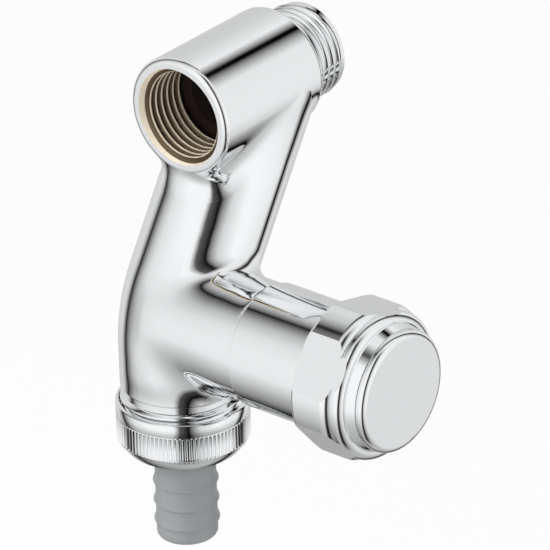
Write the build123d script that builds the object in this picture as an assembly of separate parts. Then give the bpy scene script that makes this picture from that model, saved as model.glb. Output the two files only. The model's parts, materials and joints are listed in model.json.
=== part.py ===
"""Side-entry appliance valve: wall tee, slanted leg, side handle, hose union with check valve.

Units are millimetres. +Y points into the wall, -Y to the room, +X to the handle, +Z up.
The origin is the shoulder of the wall thread, on the axis of the tee.
"""
import os
from math import atan2, cos, degrees, hypot, radians, sin

from build123d import *

os.makedirs("parts", exist_ok=True)

# Driving dimensions: tee
TEE_R = 13.0
MOUTH_Y = -32.0
INLET_R = 20.955 / 2
INLET_LEN = 10.2
INLET_CHAMFER = 0.4
INLET_BORE_R = 7.5
SOCKET_R = 18.631 / 2
SOCKET_DEPTH = 13.0
SOCKET_CHAMFER = 1.45
TEE_EDGE = 1.2

# Driving dimensions: leg and outlet
OUTLET_Y = -34.0
HEAD_Z = -44.5
LEG_TOP_Y = -6.0
LEG_R = 13.1
LEG_BEND = 24.0
LEG_BORE_R = 5.5
LEG_BORE_X = -5.0
OUTLET_END_Z = -61.0
OUTLET_FACE_Z = -69.5
OUTLET_THREAD_R = 26.441 / 2
RELIEF_CUT = 0.9205
RELIEF_R = OUTLET_THREAD_R - RELIEF_CUT
RELIEF_LEN = 0.9
CHECK_BORE_R = 9.0
BRIDGE = 11.0
CHECK_TOP_Z = HEAD_Z - BRIDGE

# Driving dimensions: handle
FACE_X = 60.2
CAP_T = 2.2
CAP_X = FACE_X - CAP_T
NECK_LEN = 1.8
BEAD_X = CAP_X - NECK_LEN
BEAD_W = 2.4
NOSE_X = BEAD_X - BEAD_W
GRIP_LEN = 10.0
HANDLE_X = NOSE_X - GRIP_LEN
HANDLE_R = 16.9
FLAT_R = 15.6
FLATS = 5
FLAT_ANGLE = 31.0
NOSE_ROUND = 2.2
BEAD_R = 16.0
NECK_FRONT_R = 12.7
CAP_R = 13.2
CAP_EDGE = 1.3
HUB_DEPTH = 2.2
HUB_X = HANDLE_X + HUB_DEPTH
INSERT_LEN = 5.0
WEB_X = HUB_X + INSERT_LEN
CAVITY_R = 12.2
INSERT_AF = 13.0
WEB_T = 2.6
RECESS_X = WEB_X + WEB_T
RECESS_R = 9.0
SCREW_R = 2.0

# Driving dimensions: head
BOSS_R = 12.9
BOSS_X = 24.5
CHAMBER_R = 8.5
SEAT_X = 4.0
SEAT_R = 5.0
SEAT_RIM = 1.5
CHAMBER_X = 2.0
PASSAGE_R = 4.5
PASSAGE_X = 6.6
SLEEVE_R = 13.45
SLEEVE_WALL = 1.9
HANDLE_GAP = 0.4
SLEEVE_X = HANDLE_X - HANDLE_GAP
HOUSING_X0 = 15.2
NECK_SET = 5.4
HOUSING_X1 = SLEEVE_X - NECK_SET
COLLAR_R = 11.5
COLLAR_LEN = 4.0
GASKET_T = 0.8
NECK_R = 8.0
PLUNGER_AF = 12.4
HEX_GAP = 0.08
LIFT = 5.0
SHAFT_R = 4.0
RUN_GAP = 0.05

# Driving dimensions: hose union
NUT_LIP_R = 7.5
NUT_LIP_T = 2.2
NUT_OVERLAP = 5.3
THREAD_GAP = 0.08
NUT_WALL = 0.9495
NUT_R = OUTLET_THREAD_R + THREAD_GAP + NUT_WALL
SEAL_T = 2.0
FLANGE_T = 1.8
NUT_TOP_Z = OUTLET_FACE_Z + NUT_OVERLAP
NUT_END_Z = OUTLET_FACE_Z - SEAL_T - FLANGE_T - NUT_LIP_T
FLANGE_GAP = 0.9205
FLANGE_R = OUTLET_THREAD_R - FLANGE_GAP
NOZZLE_R = 7.0
NOZZLE_NECK_R = 6.55
NOZZLE_BORE_R = 4.6
BARBS = 4
BARB_PITCH = 4.65
BARB_DROP = 4.05
BARB_TAIL = 3.9
BARB_TOP_Z = NUT_END_Z - BARB_DROP
NOZZLE_END_Z = BARB_TOP_Z - (BARBS - 1) * BARB_PITCH - BARB_TAIL

HEAD_AXIS = Axis((0, OUTLET_Y, HEAD_Z), (1, 0, 0))
DROP_AXIS = Axis((0, OUTLET_Y, 0), (0, 0, 1))


def cyl_x(r, x0, x1, y=OUTLET_Y, z=HEAD_Z):
    return Pos((x0 + x1) / 2, y, z) * Rot(0, 90, 0) * Cylinder(r, x1 - x0)


def cyl_y(r, y0, y1):
    return Pos(0, (y0 + y1) / 2, 0) * Rot(90, 0, 0) * Cylinder(r, y1 - y0)


def cyl_z(r, z0, z1, x=0.0):
    return Pos(x, OUTLET_Y, (z0 + z1) / 2) * Cylinder(r, z1 - z0)


def tube_x(r0, r1, x0, x1):
    return cyl_x(r1, x0, x1) - cyl_x(r0, x0 - 1, x1 + 1)


def tube_z(r0, r1, z0, z1):
    return cyl_z(r1, z0, z1) - cyl_z(r0, z0 - 1, z1 + 1)


def hex_x(across, x0, x1):
    side = Plane(origin=(x0, OUTLET_Y, HEAD_Z), x_dir=(0, 1, 0), z_dir=(1, 0, 0))
    return extrude(side * RegularPolygon(across / 2, 6, major_radius=False), x1 - x0)


def turned_z(points):
    side = Plane(origin=(0, OUTLET_Y, 0), x_dir=(1, 0, 0), z_dir=(0, -1, 0))
    return revolve(side * make_face(Polyline(*points, close=True)), DROP_AXIS)


def rings_at(solid, axis, radius, place, tol=0.02):
    found = []
    for edge in solid.edges().filter_by(GeomType.CIRCLE):
        c = edge.arc_center
        at = {"X": c.X, "Y": c.Y, "Z": c.Z}[axis]
        if abs(edge.radius - radius) < tol and abs(at - place) < tol:
            found.append(edge)
    return found


def save(solid, name):
    if isinstance(solid, ShapeList):
        solid = Compound(children=list(solid))
    solid.label = name
    export_step(solid, "parts/" + name + ".step")
    print(name, round(solid.volume, 2), len(solid.solids()))


def soften(solid, pick, radii):
    for radius in radii:
        try:
            result = fillet(pick(solid), radius)
        except Exception:
            continue
        if result.is_valid:
            return result
    return solid


def crotch_edges(solid):
    odd = [e for e in solid.edges() if e.geom_type not in (GeomType.CIRCLE, GeomType.LINE)]
    return [e for e in odd if e.center().Z > HEAD_Z / 2 - 8 and e.center().Y < LEG_TOP_Y - 4]


def boss_edges(solid):
    odd = [e for e in solid.edges() if e.geom_type not in (GeomType.CIRCLE, GeomType.LINE)]
    return [e for e in odd if e.center().Z < HEAD_Z + 14 and e.center().X > 3]


def star_x(r_out, r_in, teeth, x0, x1):
    pts = []
    for i in range(2 * teeth):
        r = r_out if i % 2 == 0 else r_in
        a = radians(180.0 * i / teeth)
        pts.append((r * cos(a), r * sin(a)))
    side = Plane(origin=(x0, OUTLET_Y, HEAD_Z), x_dir=(0, 1, 0), z_dir=(1, 0, 0))
    return extrude(side * make_face(Polyline(*pts, close=True)), x1 - x0)


def o_ring_x(major, minor, x):
    return Pos(x, OUTLET_Y, HEAD_Z) * Rot(0, 90, 0) * Torus(major, minor)


# Valve body: tee, slanted leg with a soft bend, outlet and side boss in one casting
tee = cyl_y(TEE_R, MOUTH_Y, 0)
tee = fillet(rings_at(tee, "Y", TEE_R, 0) + rings_at(tee, "Y", TEE_R, MOUTH_Y), TEE_EDGE)
tilt = atan2(LEG_TOP_Y - OUTLET_Y, -HEAD_Z)
back_off = LEG_BEND * (1 - cos(tilt)) / sin(tilt)
bend_in = (OUTLET_Y + back_off * sin(tilt), HEAD_Z + back_off * cos(tilt))
bend_out_z = HEAD_Z - back_off
leg_dir = (0, -sin(tilt), -cos(tilt))
leg_plane = Plane(origin=(0, LEG_TOP_Y, 0), x_dir=(1, 0, 0), z_dir=leg_dir)
leg_straight = extrude(leg_plane * Circle(LEG_R), hypot(bend_in[0] - LEG_TOP_Y, bend_in[1]))
pivot = Axis((0, OUTLET_Y + LEG_BEND, bend_out_z), (1, 0, 0))
low_plane = Plane(origin=(0, OUTLET_Y, bend_out_z), x_dir=(1, 0, 0), z_dir=(0, 0, 1))
bend = revolve(low_plane * Circle(LEG_R), pivot, -degrees(tilt))
outlet = cyl_z(LEG_R, OUTLET_END_Z, bend_out_z)
outlet = fillet(rings_at(outlet, "Z", LEG_R, OUTLET_END_Z), 0.8)
leg = leg_straight + bend + outlet
leg = leg - Pos(0, 25, 0) * Box(80, 50, 80)
casting = tee + leg + cyl_x(BOSS_R, 0, BOSS_X)
casting = soften(casting, crotch_edges, (8.0, 7.0, 6.0, 5.0, 4.0))
casting = soften(casting, boss_edges, (5.0, 4.0, 3.0, 2.0))

inlet = cyl_y(INLET_R, -1, INLET_LEN)
inlet = chamfer(rings_at(inlet, "Y", INLET_R, INLET_LEN), INLET_CHAMFER)
outlet_thread = cyl_z(OUTLET_THREAD_R, OUTLET_FACE_Z, OUTLET_END_Z - RELIEF_LEN)
outlet_thread = chamfer(rings_at(outlet_thread, "Z", OUTLET_THREAD_R, OUTLET_FACE_Z), 0.6)
relief = cyl_z(RELIEF_R, OUTLET_END_Z - RELIEF_LEN - 0.5, OUTLET_END_Z + 1)
casting = casting + inlet + outlet_thread + relief

leg_bore_plane = Plane(origin=(LEG_BORE_X, LEG_TOP_Y, 0), x_dir=(1, 0, 0), z_dir=leg_dir)
leg_bore = extrude(leg_bore_plane * Circle(LEG_BORE_R), hypot(OUTLET_Y - LEG_TOP_Y, HEAD_Z))
socket_end = MOUTH_Y + SOCKET_DEPTH
mouth_cone = Pos(0, MOUTH_Y + SOCKET_CHAMFER / 2, 0) * Rot(90, 0, 0) * Cone(SOCKET_R, SOCKET_R + SOCKET_CHAMFER, SOCKET_CHAMFER)
casting = casting - cyl_y(INLET_BORE_R, socket_end - 1, INLET_LEN + 1)
casting = casting - cyl_y(SOCKET_R, MOUTH_Y - 1, socket_end)
casting = casting - mouth_cone
casting = casting - leg_bore
casting = casting - cyl_x(LEG_BORE_R, LEG_BORE_X - LEG_BORE_R + 1, CHAMBER_X - 2)
casting = casting - cyl_x(CHAMBER_R, SEAT_X, BOSS_X + 1)
casting = casting - (cyl_x(CHAMBER_R, CHAMBER_X, SEAT_X) - cyl_x(SEAT_R + SEAT_RIM, CHAMBER_X - 1, SEAT_X + 1))
casting = casting - cyl_x(SEAT_R, LEG_BORE_X, SEAT_X + 1)
casting = casting - cyl_z(PASSAGE_R, CHECK_TOP_Z - 1, HEAD_Z - SEAT_R - SEAT_RIM - 0.4, x=PASSAGE_X)
casting = casting - cyl_z(CHECK_BORE_R, OUTLET_FACE_Z - 1, CHECK_TOP_Z)
casting = casting - cyl_z(CHECK_BORE_R + 1.3, OUTLET_FACE_Z - 1, OUTLET_FACE_Z + 1.0)
save(casting, "valve_body")

# Head: screwed-in housing on its gasket, with the chrome sleeve over it
collar_x = BOSS_X + GASKET_T
hex_across = PLUNGER_AF + 2 * HEX_GAP
flange_bore = PLUNGER_AF / 2
shoulder_x = collar_x + 2.7
housing = cyl_x(CHAMBER_R - 0.02, HOUSING_X0, collar_x) + cyl_x(COLLAR_R, collar_x, collar_x + COLLAR_LEN)
housing = housing + cyl_x(NECK_R, collar_x + COLLAR_LEN, HOUSING_X1)
housing = housing - hex_x(hex_across, HOUSING_X0 - 1, collar_x)
housing = housing - cyl_x(flange_bore, collar_x - 1, shoulder_x)
housing = housing - cyl_x(SHAFT_R + RUN_GAP, shoulder_x - 1, HOUSING_X1 + 1)
save(housing, "headpart_housing")
save(tube_x(CHAMBER_R + 0.05, COLLAR_R, BOSS_X, collar_x), "headpart_gasket")
sleeve = cyl_x(SLEEVE_R, BOSS_X, SLEEVE_X)
sleeve = fillet(rings_at(sleeve, "X", SLEEVE_R, SLEEVE_X), 0.5)
sleeve = chamfer(rings_at(sleeve, "X", SLEEVE_R, BOSS_X), 0.25)
sleeve = sleeve - cyl_x(COLLAR_R + 0.02, BOSS_X - 1, SLEEVE_X - 2.2)
sleeve = sleeve - cyl_x(NECK_R + 1.0, BOSS_X, SLEEVE_X + 1)
save(sleeve, "bonnet_sleeve")

# Spindle with its seals, washer and circlip
flange_x = shoulder_x - 0.8
clip_x = HOUSING_X1 + 0.2
spline_x = clip_x + 1.0
spline_end = WEB_X - 0.5
spindle_tip = collar_x - 9.9
spindle = cyl_x(SHAFT_R, spindle_tip, spline_x) + cyl_x(flange_bore - RUN_GAP, flange_x - 1.9, flange_x)
spindle = spindle + star_x(SHAFT_R, SHAFT_R - 0.6, 18, spline_x - 0.5, spline_end)
ring_places = (shoulder_x + 2.4, shoulder_x + 5.2)
ring_r = 0.6
for place in ring_places:
    spindle = spindle - tube_x(SHAFT_R - 2 * ring_r, SHAFT_R + 1, place - ring_r, place + ring_r)
spindle = spindle - tube_x(SHAFT_R - 0.8, SHAFT_R + 1, clip_x, clip_x + 0.8)
spindle = spindle - cyl_x(SCREW_R, spline_end - 9, spline_end + 1)
save(spindle, "spindle")
seals = [o_ring_x(SHAFT_R - ring_r, ring_r - 0.01, place) for place in ring_places]
save(Compound(children=seals), "spindle_o_rings")
save(tube_x(SHAFT_R + 0.02, flange_bore - RUN_GAP, flange_x, shoulder_x), "thrust_washer")
clip = tube_x(SHAFT_R - 0.8, SHAFT_R + 1.6, clip_x, clip_x + 0.8)
clip = clip - Pos(clip_x, OUTLET_Y, HEAD_Z - 5) * Box(4, 3.0, 10)
save(clip, "circlip")

# Plunger with the sealing washer and its screw
holder_x = SEAT_X + 3.0
hex_x0 = holder_x + 2.5
plunger = cyl_x(SEAT_R + SEAT_RIM + 0.8, holder_x, hex_x0)
plunger = plunger + hex_x(PLUNGER_AF, hex_x0, hex_x0 + 10.5)
plunger = plunger - cyl_x(SHAFT_R + RUN_GAP, spindle_tip - LIFT - 0.3, hex_x0 + 12)
plunger = plunger - cyl_x(1.5, holder_x - 1, spindle_tip - LIFT + 0.5)
save(plunger, "plunger")
save(tube_x(1.52, SEAT_R + SEAT_RIM + 0.6, SEAT_X, holder_x), "valve_washer")
washer_screw = cyl_x(2.9, SEAT_X - 1.5, SEAT_X) + cyl_x(1.5, SEAT_X - 0.5, holder_x + 2.8)
washer_screw = washer_screw - Pos(SEAT_X - 1.5, OUTLET_Y, HEAD_Z) * Box(1.2, 0.8, 8)
save(washer_screw, "washer_screw")

# Handle: grip with five flats, bead, neck, splined insert, screw and cap
grip = cyl_x(HANDLE_R, HANDLE_X, NOSE_X)
grip = fillet(rings_at(grip, "X", HANDLE_R, NOSE_X), NOSE_ROUND)
grip = fillet(rings_at(grip, "X", HANDLE_R, HANDLE_X), 1.0)
bead_x0 = NOSE_X - 0.4
bead = cyl_x(BEAD_R, bead_x0, BEAD_X)
bead = fillet(rings_at(bead, "X", BEAD_R, BEAD_X), (BEAD_X - bead_x0) * 0.6)
bead = fillet(rings_at(bead, "X", BEAD_R, bead_x0), (BEAD_X - bead_x0) * 0.15)
grip = grip + bead
for i in range(FLATS):
    turn = FLAT_ANGLE + i * 360.0 / FLATS
    block = Pos(0, -(FLAT_R + 10), 0) * Box(40, 20, 40)
    grip = grip - Pos(HANDLE_X, OUTLET_Y, HEAD_Z) * Rot(-turn, 0, 0) * block
handle = grip + cyl_x(NECK_FRONT_R, NOSE_X, CAP_X)
handle = handle - cyl_x(CAVITY_R, HANDLE_X - 1, HUB_X)
handle = handle - hex_x(INSERT_AF, HUB_X - 1, WEB_X)
handle = handle - cyl_x(SCREW_R + 0.2, WEB_X - 1, RECESS_X + 1)
handle = handle - cyl_x(RECESS_R, RECESS_X, CAP_X + 1)
save(handle, "handle")
insert_x = spline_x + 3.5
insert = hex_x(INSERT_AF - 0.04, insert_x, WEB_X) - star_x(SHAFT_R + 0.02, SHAFT_R - 0.58, 18, insert_x - 1, WEB_X + 1)
save(insert, "handle_insert")
screw = cyl_x(SCREW_R - 0.02, spline_end - 8, RECESS_X + 0.5) + cyl_x(4.2, RECESS_X, RECESS_X + 2.6)
screw = screw - hex_x(3.0, RECESS_X + 1.0, RECESS_X + 4)
save(screw, "handle_screw")
cap = cyl_x(CAP_R, CAP_X, FACE_X)
cap = fillet(rings_at(cap, "X", CAP_R, FACE_X), CAP_EDGE)
cap = fillet(rings_at(cap, "X", CAP_R, CAP_X), 0.4)
cap = cap + tube_x(RECESS_R - 1.2, RECESS_R - 0.03, RECESS_X + 0.6, CAP_X + 0.5)
save(cap, "handle_cap")

# Check valve cartridge in the outlet
cart_top = CHECK_TOP_Z - 1.5
seat_z = cart_top - 1.2
step_z = seat_z - 7.3
cart = cyl_z(CHECK_BORE_R - 0.1, OUTLET_FACE_Z, cart_top)
cart = cart + cyl_z(CHECK_BORE_R + 1.2, OUTLET_FACE_Z, OUTLET_FACE_Z + 1.0)
cart = cart - cyl_z(CHECK_BORE_R - 1.8, step_z - 1, seat_z)
cart = cart - cyl_z(CHECK_BORE_R - 1.2, OUTLET_FACE_Z - 1, step_z)
cart = cart - cyl_z(5.0, seat_z - 1, cart_top + 1)
groove_z = cart_top - 3.6
cart = cart - tube_z(CHECK_BORE_R - 1.4, CHECK_BORE_R + 1, groove_z - 0.75, groove_z + 0.75)
save(cart, "check_valve_housing")
cart_ring = Pos(0, OUTLET_Y, groove_z) * Torus(CHECK_BORE_R - 0.7, 0.7)
save(cart_ring, "check_valve_o_ring")
guide = tube_z(CHECK_BORE_R - 2.4, CHECK_BORE_R - 1.22, step_z - 1.8, step_z)
hub = cyl_z(2.4, step_z - 1.8, step_z)
for i in range(3):
    rib = Pos(0, OUTLET_Y, step_z - 0.9) * Rot(0, 0, 120 * i) * Pos(4.3, 0, 0) * Box(5.4, 1.4, 1.8)
    hub = hub + rib
guide = guide + hub - cyl_z(1.3 + RUN_GAP, step_z - 4, step_z + 2)
save(guide, "check_valve_guide")
poppet = cyl_z(6.2, seat_z - 2.2, seat_z - 0.8) + cyl_z(1.3, step_z - 2.0, seat_z - 2.0)
poppet = poppet + cyl_z(3.6, seat_z - 0.9, seat_z)
save(poppet, "check_valve_poppet")
save(tube_z(3.62, 6.2, seat_z - 0.8, seat_z), "poppet_seal")
coil_r = 2.9
wire_r = 0.3
coil_h = (seat_z - 2.2) - step_z - 2 * wire_r
coil_path = Pos(0, OUTLET_Y, step_z + wire_r) * Helix(coil_h / 4, coil_h, coil_r)
coil_face = Plane(origin=coil_path @ 0, z_dir=coil_path % 0) * Circle(wire_r)
save(sweep(coil_face, coil_path), "check_valve_spring")

# Hose union: gasket, barbed nozzle and knurled nut
flange_top = OUTLET_FACE_Z - SEAL_T
flange_low = flange_top - FLANGE_T
save(tube_z(CHECK_BORE_R - 1.6, FLANGE_R, flange_top, OUTLET_FACE_Z), "union_gasket")
tube_pts = [(NOZZLE_BORE_R, flange_top), (FLANGE_R, flange_top), (FLANGE_R, flange_low)]
tube_pts += [(NOZZLE_R, flange_low), (NOZZLE_R, NUT_END_Z - 1.0), (NOZZLE_NECK_R, NUT_END_Z - 1.8)]
for i in range(BARBS):
    z = BARB_TOP_Z - i * BARB_PITCH
    tube_pts += [(NOZZLE_NECK_R, z + 1.2), (NOZZLE_R, z + 0.2), (NOZZLE_R, z - 0.2), (NOZZLE_NECK_R, z - 0.6)]
tube_pts += [(NOZZLE_NECK_R, NOZZLE_END_Z), (NOZZLE_BORE_R, NOZZLE_END_Z)]
nozzle = turned_z(tube_pts)
nozzle = fillet(rings_at(nozzle, "Z", NOZZLE_NECK_R, NOZZLE_END_Z), 1.2)
save(nozzle, "hose_nozzle")
nut = cyl_z(NUT_R, NUT_END_Z, NUT_TOP_Z)
nut = chamfer(rings_at(nut, "Z", NUT_R, NUT_END_Z), 1.9)
nut = fillet(rings_at(nut, "Z", NUT_R, NUT_TOP_Z), 0.6)
nut = nut - cyl_z(OUTLET_THREAD_R + THREAD_GAP, flange_low, NUT_TOP_Z + 1)
nut = nut - cyl_z(NUT_LIP_R, NUT_END_Z - 1, NUT_TOP_Z)
save(nut, "union_nut")
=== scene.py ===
"""Dresses a chromed angle valve: tee with pipe threads, slanted leg, turning handle, hose union."""
import json
import math

import bmesh
import bpy
from mathutils import Matrix, Vector
from mathutils.kdtree import KDTree

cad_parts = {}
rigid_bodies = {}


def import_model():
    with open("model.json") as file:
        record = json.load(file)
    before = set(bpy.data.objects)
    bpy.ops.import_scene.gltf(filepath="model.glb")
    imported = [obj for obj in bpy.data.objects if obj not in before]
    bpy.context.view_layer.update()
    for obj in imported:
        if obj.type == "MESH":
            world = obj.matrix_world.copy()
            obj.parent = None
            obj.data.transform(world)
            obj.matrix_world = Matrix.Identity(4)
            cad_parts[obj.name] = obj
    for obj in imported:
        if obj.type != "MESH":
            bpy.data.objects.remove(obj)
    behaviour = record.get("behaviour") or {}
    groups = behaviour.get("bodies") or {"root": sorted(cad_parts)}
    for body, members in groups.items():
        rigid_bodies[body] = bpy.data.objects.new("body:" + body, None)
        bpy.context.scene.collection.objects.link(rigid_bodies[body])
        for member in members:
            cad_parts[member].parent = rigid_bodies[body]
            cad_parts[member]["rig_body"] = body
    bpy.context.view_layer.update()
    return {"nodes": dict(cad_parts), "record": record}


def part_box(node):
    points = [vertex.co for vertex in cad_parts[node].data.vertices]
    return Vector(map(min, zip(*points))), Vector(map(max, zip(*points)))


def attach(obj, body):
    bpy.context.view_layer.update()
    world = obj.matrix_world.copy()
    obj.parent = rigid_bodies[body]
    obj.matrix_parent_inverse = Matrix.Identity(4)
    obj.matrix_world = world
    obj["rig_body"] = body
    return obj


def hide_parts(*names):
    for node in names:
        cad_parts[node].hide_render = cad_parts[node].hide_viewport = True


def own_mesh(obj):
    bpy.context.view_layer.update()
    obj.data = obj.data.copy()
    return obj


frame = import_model()

bl_info = {
    "name": "Angle valve dresser",
    "version": (1, 0, 0),
    "blender": (4, 5, 0),
    "location": "View3D > Sidebar > Valve",
    "description": "Adds threads, knurl, finishes and a studio to a packed angle valve",
    "category": "Object",
}

MM = 0.001
NORMALS = "surface_normal"

# Brightness of the studio seen in the plating: walls to the left and right, and the gap at the camera
STUDIO_LEFT = ((-1.0, 0.65), (-0.7, 0.75), (-0.6, 0.6), (-0.45, 0.0), (-0.2, 0.55), (0.0, 0.8), (0.5, 1.0))
STUDIO_RIGHT = ((-1.0, 0.6), (-0.6, 0.9), (-0.45, 0.0), (-0.4, 0.0), (-0.2, 0.85), (0.5, 1.0))
STUDIO_GAP = ((-0.4, 1.0), (-0.25, 0.95), (-0.1, 0.1), (0.15, 0.0), (0.45, 0.7), (0.8, 1.0))

# Directions of that studio: to the camera's right and from the valve towards the camera
STUDIO_SIDE = (0.760, 0.649, 0.0)
STUDIO_AHEAD = (0.649, -0.760, 0.0)

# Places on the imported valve
HEAD = Vector((0.0, -0.034, -0.0445))
DROP = Vector((0.0, -0.034, 0.0))
INLET_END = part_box("valve_body")[1].y
MOUTH = -0.032
MOUTH_CHAMFER = 1.45 * MM
SOCKET_END = -0.019
LEG_TOP = Vector((-0.005, -0.006, 0.0))
LEG_WAY = Vector((0.0, -28.0, -44.5)).normalized()
LEG_BORE = 5.6 * MM
NUT_LOW, NUT_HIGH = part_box("union_nut")
NOZZLE_LOW, NOZZLE_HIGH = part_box("hose_nozzle")
SEAL = 2.0 * MM
FLANGE = 1.8 * MM
OUTLET_FACE = NOZZLE_HIGH.z + SEAL
OUTLET_TOP = -61.8 * MM
NUT_LIP = 7.5 * MM
NECK_LENGTH = 1.8 * MM
NECK = 12.7 * MM


# Sizes and colours a user would change
class ValveThreads(bpy.types.PropertyGroup):
    """Pipe thread sizes"""

    pitch: bpy.props.FloatProperty(
        name="Pitch", description="Axial distance between thread turns",
        default=1.814 * MM, min=0.5 * MM, max=4 * MM, precision=5, unit="LENGTH")
    inlet_crest: bpy.props.FloatProperty(
        name="Wall thread radius", description="Crest radius of the wall thread",
        default=10.4775 * MM, min=2 * MM, max=40 * MM, precision=5, unit="LENGTH")
    socket_crest: bpy.props.FloatProperty(
        name="Socket radius", description="Crest radius of the thread in the mouth",
        default=9.3155 * MM, min=2 * MM, max=40 * MM, precision=5, unit="LENGTH")
    outlet_crest: bpy.props.FloatProperty(
        name="Outlet radius", description="Crest radius of the outlet thread",
        default=13.2205 * MM, min=2 * MM, max=40 * MM, precision=5, unit="LENGTH")
    depth: bpy.props.FloatProperty(
        name="Depth", description="Radial depth of the pipe thread",
        default=1.05 * MM, min=0.2 * MM, max=3 * MM, precision=5, unit="LENGTH")
    knurl_count: bpy.props.IntProperty(
        name="Knurl ridges", description="Straight ridges around the union nut",
        default=92, min=12, max=240)
    knurl_depth: bpy.props.FloatProperty(
        name="Knurl depth", description="Depth of the grooves between the ridges",
        default=0.42 * MM, min=0.05 * MM, max=1 * MM, precision=5, unit="LENGTH")


class ValveFinish(bpy.types.PropertyGroup):
    """Colours and gloss of the finishes"""

    chrome: bpy.props.FloatVectorProperty(
        name="Chrome", description="Tint of the plating", subtype="COLOR", size=3,
        default=(0.91, 0.92, 0.93), min=0, max=1)
    chrome_roughness: bpy.props.FloatProperty(
        name="Chrome roughness", description="Lowest roughness of the plating",
        default=0.035, min=0, max=1, subtype="FACTOR")
    brass: bpy.props.FloatVectorProperty(
        name="Brass", description="Tint of the bare metal", subtype="COLOR", size=3,
        default=(0.62, 0.46, 0.29), min=0, max=1)
    plastic: bpy.props.FloatVectorProperty(
        name="Nozzle plastic", description="Colour of the nozzle", subtype="COLOR", size=3,
        default=(0.27, 0.285, 0.29), min=0, max=1)
    rubber: bpy.props.FloatVectorProperty(
        name="Rubber", description="Colour of the seals", subtype="COLOR", size=3,
        default=(0.022, 0.022, 0.024), min=0, max=1)


class ValveStage(bpy.types.PropertyGroup):
    """Camera and studio"""

    azimuth: bpy.props.FloatProperty(
        name="Azimuth", description="Camera angle round the valve",
        default=math.radians(40.49), subtype="ANGLE")
    elevation: bpy.props.FloatProperty(
        name="Elevation", description="Camera angle above the horizon",
        default=math.radians(27.32), subtype="ANGLE")
    roll: bpy.props.FloatProperty(
        name="Roll", description="Turn of the camera about its view axis",
        default=math.radians(-1.84), subtype="ANGLE")
    distance: bpy.props.FloatProperty(
        name="Distance", description="Camera distance from the drop axis",
        default=1.5, min=0.2, max=10, unit="LENGTH")
    lens: bpy.props.FloatProperty(
        name="Lens", description="Focal length on a 36 mm sensor", default=475.0, min=10, max=2000)
    shift_right: bpy.props.FloatProperty(
        name="Right", description="Camera offset to its right",
        default=21.32 * MM, precision=5, unit="LENGTH")
    shift_up: bpy.props.FloatProperty(
        name="Up", description="Camera offset upwards",
        default=-31.82 * MM, precision=5, unit="LENGTH")
    floor_drop: bpy.props.FloatProperty(
        name="Floor drop", description="Floor's distance below the nozzle",
        default=0.25, min=0, max=2, unit="LENGTH")


# Node helpers
def add(tree, kind, spot, **values):
    node = tree.nodes.new(kind)
    node.location = spot
    for key, value in values.items():
        setattr(node, key, value)
    return node


def wire(tree, *pairs):
    for source, target in pairs:
        tree.links.new(source, target)


def speckle_group():
    """Soft uneven polish: a value for roughness and a height for bump"""
    name = "uneven_polish"
    if name in bpy.data.node_groups:
        return bpy.data.node_groups[name]
    tree = bpy.data.node_groups.new(name, "ShaderNodeTree")
    face = tree.interface
    face.new_socket("Scale", in_out="INPUT", socket_type="NodeSocketFloat").default_value = 400.0
    face.new_socket("Low", in_out="INPUT", socket_type="NodeSocketFloat").default_value = 0.05
    face.new_socket("High", in_out="INPUT", socket_type="NodeSocketFloat").default_value = 0.1
    face.new_socket("Roughness", in_out="OUTPUT", socket_type="NodeSocketFloat")
    face.new_socket("Height", in_out="OUTPUT", socket_type="NodeSocketFloat")
    enter = add(tree, "NodeGroupInput", (-700, 0))
    leave = add(tree, "NodeGroupOutput", (500, 0))
    place = add(tree, "ShaderNodeTexCoord", (-700, -250))
    noise = add(tree, "ShaderNodeTexNoise", (-450, 0))
    noise.inputs["Detail"].default_value = 4.0
    spread = add(tree, "ShaderNodeMapRange", (-150, 100))
    spread.inputs["From Min"].default_value = 0.3
    spread.inputs["From Max"].default_value = 0.7
    wire(tree,
         (place.outputs["Object"], noise.inputs["Vector"]),
         (enter.outputs["Scale"], noise.inputs["Scale"]),
         (noise.outputs["Fac"], spread.inputs["Value"]),
         (enter.outputs["Low"], spread.inputs["To Min"]),
         (enter.outputs["High"], spread.inputs["To Max"]),
         (spread.outputs["Result"], leave.inputs["Roughness"]),
         (noise.outputs["Fac"], leave.inputs["Height"]))
    return tree


def finish_material(name, colour, metallic, low, high, scale, bump, dark=None):
    """A finish with uneven gloss, a fine surface and, where given, a second shade"""
    if name in bpy.data.materials:
        return bpy.data.materials[name]
    mat = bpy.data.materials.new(name)
    mat.use_nodes = True
    tree = mat.node_tree
    shader = tree.nodes["Principled BSDF"]
    shader.inputs["Metallic"].default_value = metallic
    shader.inputs["Base Color"].default_value = (*colour, 1)
    polish = add(tree, "ShaderNodeGroup", (-600, 0))
    polish.node_tree = speckle_group()
    polish.inputs["Scale"].default_value = scale
    polish.inputs["Low"].default_value = low
    polish.inputs["High"].default_value = high
    relief = add(tree, "ShaderNodeBump", (-300, -200))
    relief.inputs["Strength"].default_value = bump
    relief.inputs["Distance"].default_value = 0.02 * MM
    wire(tree,
         (polish.outputs["Roughness"], shader.inputs["Roughness"]),
         (polish.outputs["Height"], relief.inputs["Height"]),
         (relief.outputs["Normal"], shader.inputs["Normal"]))
    if dark is not None:
        blend = add(tree, "ShaderNodeMix", (-300, 250), data_type="RGBA")
        blend.inputs["A"].default_value = (*dark, 1)
        blend.inputs["B"].default_value = (*colour, 1)
        wire(tree,
             (polish.outputs["Height"], blend.inputs["Factor"]),
             (blend.outputs["Result"], shader.inputs["Base Color"]))
    return mat


def shade(colour, by):
    """The colour made darker or lighter"""
    return tuple(min(1.0, c * by) for c in colour)


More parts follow.
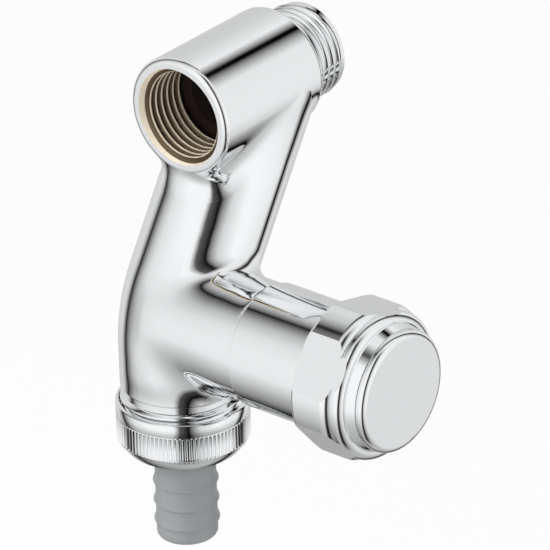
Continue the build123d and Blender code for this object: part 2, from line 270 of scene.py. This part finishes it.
def finishes(context):
    """The record's finishes, and three more for the mouth and the bores of the casting, which paint a
    highlight and shade
    """
    f = context.scene.valve_finish
    low = f.chrome_roughness
    brass = f.brass
    return {
        "chrome_plate": finish_material("polished_chrome", f.chrome, 1.0, low, low + 0.03, 90.0, 0.02),
        "bare_brass": finish_material(
            "machined_brass", brass, 1.0, 0.24, 0.4, 900.0, 0.25, shade(brass, 0.72)),
        # Painted highlight: a pale copy of the brass that stands for light on the mouth's chamfer and the
        # thread crests
        "highlit_brass": finish_material(
            "painted_highlight_brass", (0.88, 0.79, 0.64), 0.3, 0.3, 0.42, 900.0, 0.2, (0.8, 0.69, 0.53)),
        # Painted shade: a dark copy of the brass for the thread's flanks and the grooves behind the mouth
        # thread
        "shaded_brass": finish_material(
            "painted_shade_brass", shade(brass, 0.36), 1.0, 0.3, 0.5, 900.0, 0.25, shade(brass, 0.26)),
        # Painted shade: near black for the water ways deep in the casting
        "bore_shade": finish_material(
            "shaded_bore", (0.03, 0.016, 0.011), 0.0, 0.7, 0.9, 900.0, 0.25, (0.02, 0.01, 0.007)),
        "spring_steel": finish_material("spring_steel", (0.55, 0.56, 0.58), 1.0, 0.2, 0.32, 700.0, 0.1),
        "black_rubber": finish_material(
            "seal_rubber", f.rubber, 0.0, 0.5, 0.66, 1500.0, 0.3, shade(f.rubber, 1.8)),
        "fibre_gasket": finish_material(
            "pressed_fibre", (0.36, 0.12, 0.07), 0.0, 0.7, 0.85, 1800.0, 0.5, (0.24, 0.07, 0.04)),
        "grey_plastic": finish_material(
            "nozzle_plastic", f.plastic, 0.0, 0.38, 0.5, 1200.0, 0.12, shade(f.plastic, 0.9)),
        "white_plastic": finish_material(
            "moulded_white", (0.8, 0.8, 0.78), 0.0, 0.35, 0.45, 1200.0, 0.1, (0.74, 0.74, 0.71)),
    }


# Mesh helpers
def keep_piece(name, bm, body, mats, sharp=35.0):
    """Makes the piece; a copied solid keeps its own normals, and others are sharp past an angle"""
    mesh = bpy.data.meshes.new(name)
    bm.to_mesh(mesh)
    bm.free()
    for mat in mats:
        mesh.materials.append(mat)
    mesh.shade_smooth()
    kept = mesh.attributes.get(NORMALS)
    if kept is None:
        mesh.set_sharp_from_angle(angle=math.radians(sharp))
    else:
        normals = [Vector(value.vector) for value in kept.data]
        mesh.attributes.remove(kept)
        mesh.normals_split_custom_set(normals)
    piece = bpy.data.objects.new(name, mesh)
    bpy.context.scene.collection.objects.link(piece)
    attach(piece, body)
    return piece


def solid_copy(node):
    """The node's own mesh, merged, with its true surface normals, to be worked on as a new piece"""
    source = frame["nodes"][node].data
    bm = bmesh.new()
    bm.from_mesh(source)
    layer = bm.loops.layers.float_vector.new(NORMALS)
    corners = source.corner_normals
    for face, polygon in zip(bm.faces, source.polygons):
        for offset, loop in enumerate(face.loops):
            loop[layer] = corners[polygon.loop_start + offset].vector
    bmesh.ops.remove_doubles(bm, verts=bm.verts, dist=0.0005 * MM)
    return bm


def body_of(node):
    return frame["nodes"][node]["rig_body"]


def turn_profile(bm, points, centre, along, across):
    """A line of vertices in the plane of an axis, from (radius, place) pairs"""
    verts = [bm.verts.new(centre + across * r + along * t) for r, t in points]
    edges = [bm.edges.new(pair) for pair in zip(verts, verts[1:])]
    return verts, edges


def spun(points, centre, along, across, steps):
    """A closed turned body from a closed ring of (radius, place) pairs"""
    bm = bmesh.new()
    verts, edges = turn_profile(bm, points, centre, along, across)
    edges.append(bm.edges.new((verts[-1], verts[0])))
    bmesh.ops.spin(bm, geom=verts + edges, cent=centre, axis=along, dvec=(0, 0, 0),
                   angle=2 * math.pi, steps=steps, use_merge=True)
    bmesh.ops.remove_doubles(bm, verts=bm.verts, dist=0.0005 * MM)
    bmesh.ops.recalc_face_normals(bm, faces=bm.faces)
    return bm


def thread_turns(crest, root, pitch, centre, along, across, start, end, limit):
    """Helical ridge of a pipe thread between two places along its axis"""
    bm = bmesh.new()
    out = 1.0 if crest > root else -1.0
    soft = 0.14 * abs(crest - root)
    shape = ((root - out * 0.15 * MM, -0.49), (root + out * 0.04 * MM, -0.43),
             (crest - out * soft, -0.15), (crest, -0.06), (crest, 0.06),
             (crest - out * soft, 0.15), (root + out * 0.04 * MM, 0.43), (root - out * 0.15 * MM, 0.49))
    points = [(r, start + pitch * (0.5 + t)) for r, t in shape]
    verts, edges = turn_profile(bm, points, centre, along, across)
    edges.append(bm.edges.new((verts[-1], verts[0])))
    bm.faces.new(verts)
    turns = (end - start - pitch) / pitch
    steps = max(8, int(turns * 64))
    made = bmesh.ops.spin(bm, geom=verts + edges, cent=centre, axis=along,
                          dvec=along * (turns * pitch / steps), angle=2 * math.pi * turns, steps=steps)
    last = [g for g in made["geom_last"] if isinstance(g, bmesh.types.BMEdge)]
    bmesh.ops.contextual_create(bm, geom=last)
    bmesh.ops.recalc_face_normals(bm, faces=bm.faces)
    for v in bm.verts:
        place = (v.co - centre).dot(along)
        axis_point = centre + along * place
        arm = v.co - axis_point
        bound = limit(place)
        if out * (arm.length - bound) > 0:
            v.co = axis_point + arm * (bound / arm.length)
    return bm


def smooth_step(value, start, end):
    """0 at start, 1 at end and eased between them"""
    t = min(1.0, max(0.0, (value - start) / (end - start)))
    return t * t * (3.0 - 2.0 * t)


def polish_over(bm, reach, spread, length):
    """Rounds only the shading where forms flow into each other; reach gives 0 to 1 at a place"""
    layer = bm.loops.layers.float_vector[NORMALS]
    for _ in range(4):
        long = [e for e in bm.edges
                if e.calc_length() > length and reach((e.verts[0].co + e.verts[1].co) / 2) > 0]
        if not long:
            break
        bmesh.ops.subdivide_edges(bm, edges=long, cuts=1)
        bmesh.ops.triangulate(bm, faces=[f for f in bm.faces if len(f.verts) > 3])
    near = []
    for v in bm.verts:
        if reach(v.co) > 0 or any(reach(e.other_vert(v).co) > 0 for e in v.link_edges):
            near.append((v, sum((loop[layer] for loop in v.link_loops), Vector()).normalized()))
    tree = KDTree(len(near))
    for i, (v, _) in enumerate(near):
        tree.insert(v.co, i)
    tree.balance()
    for v, own in near:
        share = reach(v.co)
        if share <= 0:
            continue
        mean = Vector()
        for _, i, gap in tree.find_range(v.co, spread):
            other = near[i][1]
            if other.dot(own) > 0.1:
                mean += other * (1.0 - gap / spread) ** 2
        mean.normalize()
        for loop in v.link_loops:
            loop[layer] = (loop[layer] * (1.0 - share) + mean * share).normalized()


def move_ring(bm, centre, along, low, high, radius, new_radius, tol=0.02 * MM):
    """Sets the radius of the vertices of a round wall between two places"""
    for v in bm.verts:
        place = (v.co - centre).dot(along)
        arm = v.co - centre - along * place
        if low <= place <= high and abs(arm.length - radius) < tol:
            v.co = centre + along * place + arm * (new_radius / arm.length)


def boss_front(place):
    """Where the boss flows out of the front of the leg"""
    x, y, z = place / MM
    across = smooth_step(x, -7.0, -1.0) * smooth_step(x, 23.0, 15.0)
    return across * smooth_step(y, -37.0, -42.0) * smooth_step(z, -61.0, -55.0) * smooth_step(z, -27.0, -33.0)


def leg_flank(place):
    """The right-hand side of the leg above the boss"""
    x, y, z = place / MM
    return smooth_step(x, 5.0, 8.0) * smooth_step(z, -36.0, -32.0) * smooth_step(z, -18.0, -22.0)


def tee_flank(place):
    """Where the leg flows out of the underside of the tee, on both sides"""
    x, y, z = abs(place.x) / MM, place.y / MM, place.z / MM
    outer = smooth_step(math.hypot(x, z), 11.2, 11.8)
    along = smooth_step(y, -27.0, -22.0) * smooth_step(y, -0.4, -3.0)
    below = smooth_step(z, -19.0, -14.0) * smooth_step(z, -1.0, -4.0)
    return outer * smooth_step(x, 4.0, 7.0) * below * along


# Pieces
class VALVE_OT_body(bpy.types.Operator):
    """Dress the chromed casting and cut its three pipe threads"""

    bl_idname = "valve.body"
    bl_label = "Casting and threads"

    def execute(self, context):
        t = context.scene.valve_threads
        mats = finishes(context)
        y, x, z = Vector((0, 1, 0)), Vector((1, 0, 0)), Vector((0, 0, 1))
        zero = Vector((0, 0, 0))
        inlet_root = t.inlet_crest - t.depth
        socket_root = t.socket_crest + t.depth * 0.95
        outlet_root = t.outlet_crest - t.depth
        bm = solid_copy("valve_body")
        move_ring(bm, zero, y, -0.05 * MM, INLET_END - 0.35 * MM, t.inlet_crest, inlet_root)
        move_ring(bm, zero, y, MOUTH + 1.3 * MM, SOCKET_END + 0.05 * MM, t.socket_crest, socket_root)
        half = MOUTH_CHAMFER / 2
        move_ring(bm, zero, y, MOUTH + half - 0.05 * MM, MOUTH + half + 0.05 * MM, t.socket_crest + half,
                  (socket_root + t.socket_crest) / 2 + half)
        move_ring(bm, DROP, z, OUTLET_FACE + 0.55 * MM, OUTLET_TOP, t.outlet_crest, outlet_root)
        polish_over(bm, boss_front, 7.0 * MM, 1.4 * MM)
        polish_over(bm, leg_flank, 2.5 * MM, 1.6 * MM)
        polish_over(bm, tee_flank, 6.0 * MM, 1.6 * MM)
        self.paint_bore_light_and_shade(bm)
        shades = ("chrome_plate", "highlit_brass", "shaded_brass", "bore_shade")
        piece = keep_piece("casting", bm, "body", [mats[k] for k in shades])
        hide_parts("valve_body")

        def wall_limit(place):
            return min(t.inlet_crest, t.inlet_crest - (place - (INLET_END - 0.45 * MM)))

        bm = thread_turns(t.inlet_crest, inlet_root, t.pitch, zero, y, x,
                          0.1 * MM, INLET_END - 0.1 * MM, wall_limit)
        keep_piece("wall_thread", bm, "body", [mats["chrome_plate"]], 50.0)

        def mouth_limit(place):
            return max(t.socket_crest, t.socket_crest + 1.5 * MM - (place - MOUTH))

        bm = thread_turns(t.socket_crest, socket_root, t.pitch, zero, y, (x + z).normalized(),
                          MOUTH + 0.15 * MM, SOCKET_END - 0.3 * MM, mouth_limit)
        # Painted highlight on the crests and painted shade on the flanks, split by radius
        highlight_band = t.socket_crest + 0.3 * MM
        for face in bm.faces:
            c = face.calc_center_median()
            face.material_index = int(math.hypot(c.x, c.z) > highlight_band)
        keep_piece("mouth_thread", bm, "body", [mats["highlit_brass"], mats["shaded_brass"]], 50.0)

        def outlet_limit(place):
            return min(t.outlet_crest, t.outlet_crest + (place - (OUTLET_FACE + 0.8 * MM)))

        bm = thread_turns(t.outlet_crest, outlet_root, t.pitch, DROP, z, x,
                          OUTLET_FACE + 0.1 * MM, OUTLET_TOP + 0.05 * MM, outlet_limit)
        keep_piece("outlet_thread", bm, "body", [mats["chrome_plate"]], 50.0)
        return {"FINISHED"}

    def paint_bore_light_and_shade(self, bm):
        """Painted highlight: light brass on the mouth's chamfer; painted shade: dark brass behind its thread
        and dark water ways
        """
        mouth_rim = 10.76 * MM
        for face in bm.faces:
            c = face.calc_center_median()
            if math.hypot(c.x, c.z) < mouth_rim and MOUTH + 0.05 * MM < c.y < -0.2 * MM:
                # Painted highlight on the chamfer, painted shade behind the thread and deeper in
                if c.y < MOUTH + 1.3 * MM:
                    face.material_index = 1
                else:
                    face.material_index = 2 if c.y < SOCKET_END - 0.3 * MM else 3
            # Painted shade in the leg's water way
            if HEAD.z + 0.5 * MM < c.z < -3 * MM and (c - LEG_TOP).cross(LEG_WAY).length < LEG_BORE:
                face.material_index = 3


class VALVE_OT_head(bpy.types.Operator):
    """Dress the sleeve, the handle and its cap"""

    bl_idname = "valve.head"
    bl_label = "Sleeve and handle"

    def execute(self, context):
        mats = finishes(context)
        for node, name in (("bonnet_sleeve", "sleeve"), ("handle", "grip"), ("handle_cap", "cap")):
            bm = solid_copy(node)
            if node == "handle":
                self.taper_neck(bm)
            piece = keep_piece(name, bm, body_of(node), [mats["chrome_plate"]])
            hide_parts(node)
        return {"FINISHED"}

    def taper_neck(self, bm):
        """Tapers the short neck between the bead and the cap"""
        layer = bm.loops.layers.float_vector[NORMALS]
        x = Vector((1, 0, 0))
        slim, wide = 13.15 * MM, 13.9 * MM
        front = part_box("handle")[1].x
        rear = front - NECK_LENGTH
        for place, radius in ((front, slim), (rear, wide)):
            move_ring(bm, HEAD, x, place - 0.02 * MM, place + 0.02 * MM, NECK, radius)
        lean = math.atan2(wide - slim, NECK_LENGTH)

        def on_neck(v):
            radius = (v.co - HEAD - x * v.co.x).length
            return v.co.x > rear - 0.03 * MM and slim - 0.05 * MM < radius < wide + 0.05 * MM

        for face in bm.faces:
            if all(on_neck(v) for v in face.verts):
                for loop in face.loops:
                    arm = loop.vert.co - HEAD
                    arm.x = 0
                    loop[layer] = arm.normalized() * math.cos(lean) + x * math.sin(lean)


class VALVE_OT_union(bpy.types.Operator):
    """Make the knurled nut and the barbed nozzle"""

    bl_idname = "valve.union"
    bl_label = "Hose union"

    def execute(self, context):
        t = context.scene.valve_threads
        mats = finishes(context)
        x, z = Vector((1, 0, 0)), Vector((0, 0, 1))
        rim = (NUT_HIGH.x - NUT_LOW.x) / 2
        top, low = NUT_HIGH.z, NUT_LOW.z
        inner = t.outlet_crest + 0.08 * MM
        floor = OUTLET_FACE - SEAL - FLANGE
        knurl_top, knurl_low = -67.3 * MM, -72.9 * MM
        ring = [(inner, floor), (inner, top - 0.2 * MM), (inner + 0.2 * MM, top),
                (rim - 0.5 * MM, top), (rim - 0.15 * MM, top - 0.2 * MM), (rim, top - 0.6 * MM),
                (rim, knurl_top + 0.35 * MM), (rim - 0.12 * MM, knurl_top + 0.1 * MM),
                (rim - 0.02 * MM, knurl_top - 0.1 * MM), (rim - 0.01 * MM, knurl_top - 0.5 * MM),
                (rim - 0.01 * MM, knurl_low + 0.5 * MM), (rim - 0.02 * MM, knurl_low + 0.1 * MM),
                (rim - 0.2 * MM, knurl_low - 0.1 * MM), (rim - 0.35 * MM, knurl_low - 0.6 * MM),
                (rim - 1.9 * MM, low), (NUT_LIP, low), (NUT_LIP, floor)]
        bm = spun(ring, DROP, z, x, 4 * t.knurl_count)
        for v in bm.verts:
            arm = v.co - DROP
            arm.z = 0
            inside = knurl_low < v.co.z < knurl_top and arm.length > rim - 0.1 * MM
            turn = round(math.atan2(arm.y, arm.x) / (2 * math.pi) * 4 * t.knurl_count) % 4
            if inside and turn in (1, 2):
                edge = min(knurl_top - v.co.z, v.co.z - knurl_low) / (0.5 * MM)
                cut = t.knurl_depth * min(1.0, edge)
                v.co -= arm * (cut / arm.length)
        piece = keep_piece("nut", bm, "nut_set", [mats["chrome_plate"]], 40.0)
        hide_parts("union_nut")

        wide, neck, bore = 7.0 * MM, 6.55 * MM, 4.6 * MM
        flange = (NOZZLE_HIGH.x - NOZZLE_LOW.x) / 2
        high, end = NOZZLE_HIGH.z, NOZZLE_LOW.z
        under = high - FLANGE
        outline = [(bore, high), (flange, high), (flange, under), (wide, under),
                   (wide, -76.5 * MM), (wide - 0.12 * MM, -76.8 * MM), (neck, -77.3 * MM)]
        ridge = ((0.0, 1.5), (0.05, 1.2), (0.14, 0.9), (0.26, 0.6), (0.38, 0.35), (0.44, 0.15), (0.45, 0.0),
                 (0.4, -0.1), (0.15, -0.16), (-0.12, -0.22), (-0.12, -0.42), (0.0, -0.7))
        first_ridge, ridge_pitch = -79.55 * MM, 4.65 * MM
        for i in range(4):
            middle = first_ridge - i * ridge_pitch
            outline += [(neck + lift * MM, middle + up * MM) for lift, up in ridge]
        tip = 1.2 * MM
        for k in range(7):
            a = math.radians(15 * k)
            outline.append((neck - tip * (1 - math.cos(a)), end + tip * (1 - math.sin(a))))
        outline += [(bore + 0.3 * MM, end), (bore, end + 0.3 * MM)]
        bm = spun(outline, DROP, z, x, 96)
        piece = keep_piece("nozzle", bm, "nozzle_set", [mats["grey_plastic"]], 35.0)
        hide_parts("hose_nozzle")
        return {"FINISHED"}


class VALVE_OT_inner(bpy.types.Operator):
    """Give the working parts inside their finishes"""

    bl_idname = "valve.inner"
    bl_label = "Inner parts"

    def execute(self, context):
        mats = finishes(context)
        slots = {s["node"]: s["material_slot"] for s in frame["record"]["subparts"]}
        for name, node in frame["nodes"].items():
            if node.hide_render:
                continue
            node.data.materials.clear()
            node.data.materials.append(mats[slots[name]])
        coil = keep_piece("spring_coil", solid_copy("check_valve_spring"), "body",
                          [mats["spring_steel"]])
        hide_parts("check_valve_spring")
        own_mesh(coil)
        return {"FINISHED"}


class VALVE_OT_stage(bpy.types.Operator):
    """Set the floor, the studio light and the camera"""

    bl_idname = "valve.stage"
    bl_label = "Stage"

    def execute(self, context):
        s = context.scene.valve_stage
        scene = context.scene
        scene.view_settings.view_transform = "Standard"
        self.world(scene)
        self.floor(scene, NOZZLE_LOW.z - s.floor_drop)
        for name, spot, size, power in (("key_softbox", (-0.9, -1.1, 1.0), 1.2, 22.0),
                                        ("fill_softbox", (1.3, -0.9, 0.5), 1.0, 9.0)):
            lamp = bpy.data.lights.new(name, "AREA")
            lamp.energy = power
            lamp.size = size
            holder = bpy.data.objects.new(name, lamp)
            holder.location = spot
            aim = Vector((0.01, -0.02, -0.045)) - Vector(spot)
            holder.rotation_euler = aim.to_track_quat("-Z", "Y").to_euler()
            holder.visible_glossy = False
            scene.collection.objects.link(holder)
        self.camera(scene, s)
        return {"FINISHED"}

    def world(self, scene):
        """White behind the valve, a plain light on it, and pale walls with dark gaps seen in the plating"""
        world = bpy.data.worlds.new("pale_studio")
        scene.world = world
        world.use_nodes = True
        tree = world.node_tree
        tree.nodes.clear()
        out = add(tree, "ShaderNodeOutputWorld", (1500, 0))
        place = add(tree, "ShaderNodeTexCoord", (-1300, 0))

        def along(direction, spot):
            node = add(tree, "ShaderNodeVectorMath", spot, operation="DOT_PRODUCT")
            node.inputs[1].default_value = direction
            wire(tree, (place.outputs["Generated"], node.inputs[0]))
            return node.outputs["Value"]

        def ramp(value, spot, start, end, low, high):
            node = add(tree, "ShaderNodeMapRange", spot, interpolation_type="SMOOTHSTEP")
            for key, number in (("From Min", start), ("From Max", end), ("To Min", low), ("To Max", high)):
                node.inputs[key].default_value = number
            wire(tree, (value, node.inputs["Value"]))
            return node.outputs["Result"]

        def maths(kind, spot, first, second):
            node = add(tree, "ShaderNodeMath", spot, operation=kind)
            wire(tree, (first, node.inputs[0]), (second, node.inputs[1]))
            return node.outputs["Value"]

        def falloff(value, spot, stops):
            """Brightness between stops of (place, level), the places rising"""
            first, last = stops[0][0], stops[-1][0]
            scaled = add(tree, "ShaderNodeMapRange", (spot[0] - 220, spot[1]))
            scaled.inputs["From Min"].default_value = first
            scaled.inputs["From Max"].default_value = last
            node = add(tree, "ShaderNodeValToRGB", spot)
            node.color_ramp.interpolation = "LINEAR"
            marks = node.color_ramp.elements
            while len(marks) < len(stops):
                marks.new(0.5)
            for mark, (place_at, grey) in zip(marks, stops):
                mark.position = (place_at - first) / (last - first)
                mark.color = (grey, grey, grey, 1)
            wire(tree, (value, scaled.inputs["Value"]), (scaled.outputs["Result"], node.inputs["Fac"]))
            return node.outputs["Color"]

        side = along(STUDIO_SIDE, (-1500, 300))
        ahead = along(STUDIO_AHEAD, (-1500, 100))
        height = along((0.0, 0.0, 1.0), (-1500, -300))
        shift = maths("MULTIPLY", (-1050, -100), ramp(side, (-1250, 0), -0.5, 0.0, 1.0, 0.0),
                      ramp(height, (-1250, -250), 0.1, 0.8, 0.0, -0.145))
        hoop = maths("ADD", (-850, 0), ahead, shift)
        left = falloff(hoop, (-400, 0), STUDIO_LEFT)
        right = falloff(hoop, (-400, -250), STUDIO_RIGHT)
        gap = falloff(side, (-400, 300), STUDIO_GAP)
        flank = add(tree, "ShaderNodeMix", (-100, -100))
        wire(tree, (ramp(side, (-400, -550), -0.25, 0.25, 0.0, 1.0), flank.inputs["Factor"]),
             (left, flank.inputs["A"]), (right, flank.inputs["B"]))
        split = add(tree, "ShaderNodeMix", (-100, 200))
        split.inputs["A"].default_value = 1.0
        wire(tree, (ramp(ahead, (-400, 550), 0.0, 0.35, 0.0, 1.0), split.inputs["Factor"]),
             (gap, split.inputs["B"]))
        level = ramp(height, (-400, -800), -0.85, -0.3, 0.55, 1.0)
        walls = maths("MULTIPLY", (100, 0), flank.outputs["Result"], split.outputs["Result"])
        power = maths("MULTIPLY", (250, -100), walls, level)
        rays = add(tree, "ShaderNodeLightPath", (400, 400))
        mirror, plain, white = (add(tree, "ShaderNodeBackground", (650, y)) for y in (0, -200, 200))
        for backdrop in (mirror, plain, white):
            backdrop.inputs["Color"].default_value = (1, 1, 1, 1)
        plain.inputs["Strength"].default_value = 0.62
        white.inputs["Strength"].default_value = 1.0
        glossy = add(tree, "ShaderNodeMixShader", (950, -100))
        seen = add(tree, "ShaderNodeMixShader", (1200, 0))
        wire(tree,
             (power, mirror.inputs["Strength"]),
             (rays.outputs["Is Glossy Ray"], glossy.inputs["Fac"]),
             (plain.outputs["Background"], glossy.inputs[1]),
             (mirror.outputs["Background"], glossy.inputs[2]),
             (rays.outputs["Is Camera Ray"], seen.inputs["Fac"]),
             (glossy.outputs["Shader"], seen.inputs[1]),
             (white.outputs["Background"], seen.inputs[2]),
             (seen.outputs["Shader"], out.inputs["Surface"]))

    def floor(self, scene, level):
        """A pale floor, close to white for the camera, that keeps a trace of the shadow"""
        mat = bpy.data.materials.new("pale_floor")
        mat.use_nodes = True
        tree = mat.node_tree
        shader = tree.nodes["Principled BSDF"]
        shader.inputs["Base Color"].default_value = (0.9, 0.9, 0.9, 1)
        shader.inputs["Roughness"].default_value = 0.9
        out = tree.nodes["Material Output"]
        rays = add(tree, "ShaderNodeLightPath", (-300, 300))
        glow = add(tree, "ShaderNodeEmission", (0, 100))
        glow.inputs["Strength"].default_value = 1.0
        share = add(tree, "ShaderNodeMath", (0, 300), operation="MULTIPLY")
        share.inputs[1].default_value = 0.85
        final = add(tree, "ShaderNodeMixShader", (450, 0))
        wire(tree,
             (rays.outputs["Is Camera Ray"], share.inputs[0]),
             (share.outputs["Value"], final.inputs["Fac"]),
             (shader.outputs["BSDF"], final.inputs[1]),
             (glow.outputs["Emission"], final.inputs[2]),
             (final.outputs["Shader"], out.inputs["Surface"]))
        bm = bmesh.new()
        bmesh.ops.create_grid(bm, x_segments=2, y_segments=2, size=4.0,
                              matrix=Matrix.Translation((0, 0, level)))
        mesh = bpy.data.meshes.new("floor")
        bm.to_mesh(mesh)
        bm.free()
        mesh.materials.append(mat)
        piece = bpy.data.objects.new("floor", mesh)
        scene.collection.objects.link(piece)
        piece.visible_glossy = False

    def camera(self, scene, s):
        """The photo's camera, far off with a long lens"""
        a, e, r = s.azimuth, s.elevation, s.roll
        back = Vector((math.sin(a) * math.cos(e), -math.cos(a) * math.cos(e), math.sin(e)))
        right = Vector((math.cos(a), math.sin(a), 0.0))
        up = back.cross(right)
        turned = right * math.cos(r) + up * math.sin(r)
        up = up * math.cos(r) - right * math.sin(r)
        data = bpy.data.cameras.new("photo_camera")
        data.sensor_width = 36.0
        data.lens = s.lens
        data.clip_end = 100.0
        holder = bpy.data.objects.new("photo_camera", data)
        spot = DROP + back * s.distance + turned * s.shift_right + up * s.shift_up
        turn = Matrix((turned, up, back)).transposed().to_4x4()
        holder.matrix_world = Matrix.Translation(spot) @ turn
        scene.collection.objects.link(holder)
        scene.camera = holder


class VALVE_PT_panel(bpy.types.Panel):
    """Lists the valve's steps and sizes"""

    bl_idname = "VALVE_PT_panel"
    bl_label = "Angle valve"
    bl_space_type = "VIEW_3D"
    bl_region_type = "UI"
    bl_category = "Valve"

    def draw(self, context):
        for step in STEPS:
            self.layout.operator(step.bl_idname)
        for group in (context.scene.valve_threads, context.scene.valve_finish, context.scene.valve_stage):
            box = self.layout.box()
            for name in group.__annotations__:
                box.prop(group, name)


GROUPS = (("valve_threads", ValveThreads), ("valve_finish", ValveFinish), ("valve_stage", ValveStage))
STEPS = (VALVE_OT_body, VALVE_OT_head, VALVE_OT_union, VALVE_OT_inner, VALVE_OT_stage)


def register():
    for name, group in GROUPS:
        bpy.utils.register_class(group)
        setattr(bpy.types.Scene, name, bpy.props.PointerProperty(type=group))
    for cls in STEPS + (VALVE_PT_panel,):
        bpy.utils.register_class(cls)


def unregister():
    for cls in reversed(STEPS + (VALVE_PT_panel,)):
        bpy.utils.unregister_class(cls)
    for name, group in reversed(GROUPS):
        delattr(bpy.types.Scene, name)
        bpy.utils.unregister_class(group)


def main():
    register()
    bpy.ops.valve.body()
    bpy.ops.valve.head()
    bpy.ops.valve.union()
    bpy.ops.valve.inner()
    bpy.ops.valve.stage()


if __name__ == "__main__":
    main()
